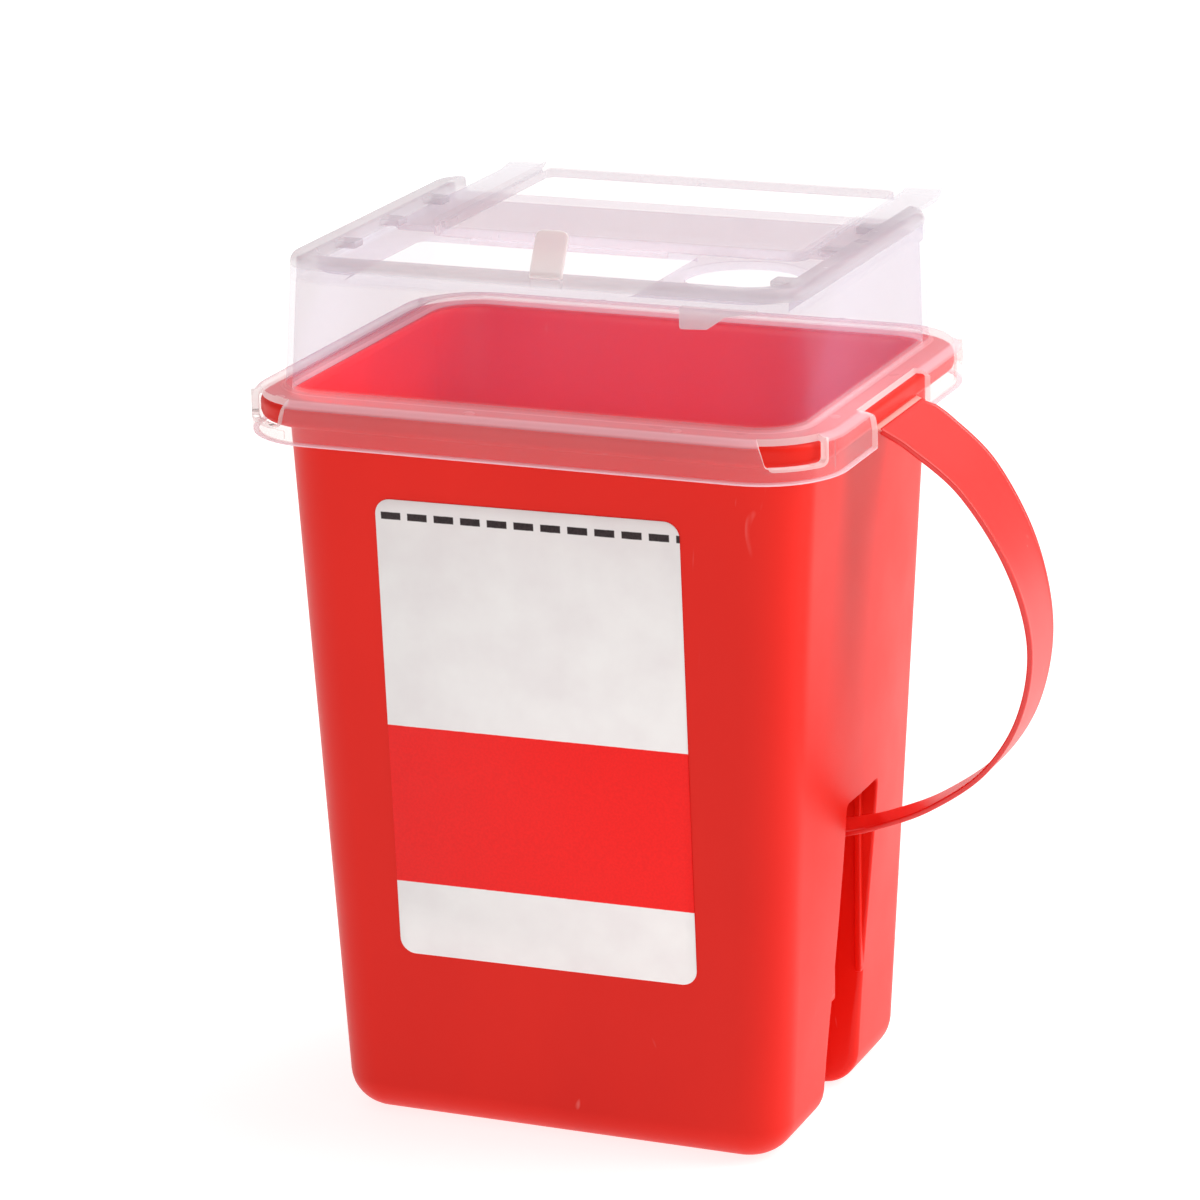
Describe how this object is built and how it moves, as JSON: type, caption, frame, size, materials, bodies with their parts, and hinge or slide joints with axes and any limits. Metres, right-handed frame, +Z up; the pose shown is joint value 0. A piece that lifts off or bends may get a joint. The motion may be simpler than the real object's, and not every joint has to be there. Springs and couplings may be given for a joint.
{
  "type": "sharps container",
  "caption": "Small countertop sharps container: tapered red tub with a looped side strap, translucent lid with a raised housing, sliding cover and fold-over lock tab.",
  "frame": {"origin": "centre of the tub's base, on the surface it stands on", "axes": "+Z up, -Y towards the label, +X towards the strap handle"},
  "size_m": [0.1427, 0.1112, 0.176],
  "materials": {
    "red_tub": "satin moulded polypropylene",
    "red_strap": "satin moulded polypropylene",
    "clear_lid": "translucent natural polypropylene",
    "clear_cover": "translucent natural polypropylene",
    "clear_tab": "translucent natural polypropylene",
    "label_film": "printed satin film"
  },
  "bodies": {
    "tub": {"tub": "red_tub", "label": "label_film"},
    "strap": {"strap_handle": "red_strap"},
    "lid": {"lid": "clear_lid"},
    "cover": {"slide_cover": "clear_cover"},
    "tab": {"lock_tab": "clear_tab"}
  },
  "joints": [
    {"name": "strap_swing", "type": "hinge", "parent": "tub", "child": "strap", "pos_m": [0.0573, 0.0008, 0.1374], "axis": [0, -1, 0], "range_deg": [0, 100]},
    {"name": "lid_lift", "type": "slide", "parent": "tub", "child": "lid", "axis": [0, 0, 1], "range_m": [0, 0.06]},
    {"name": "cover_slide", "type": "slide", "parent": "lid", "child": "cover", "axis": [0, -1, 0], "range_m": [0, 0.033]},
    {"name": "lock_tab_fold", "type": "hinge", "parent": "lid", "child": "tab", "pos_m": [0.00285, -0.0376, 0.1683], "axis": [1, 0, 0], "range_deg": [-30, 40], "stiffness_Nm_per_rad": 0.0005}
  ]
}
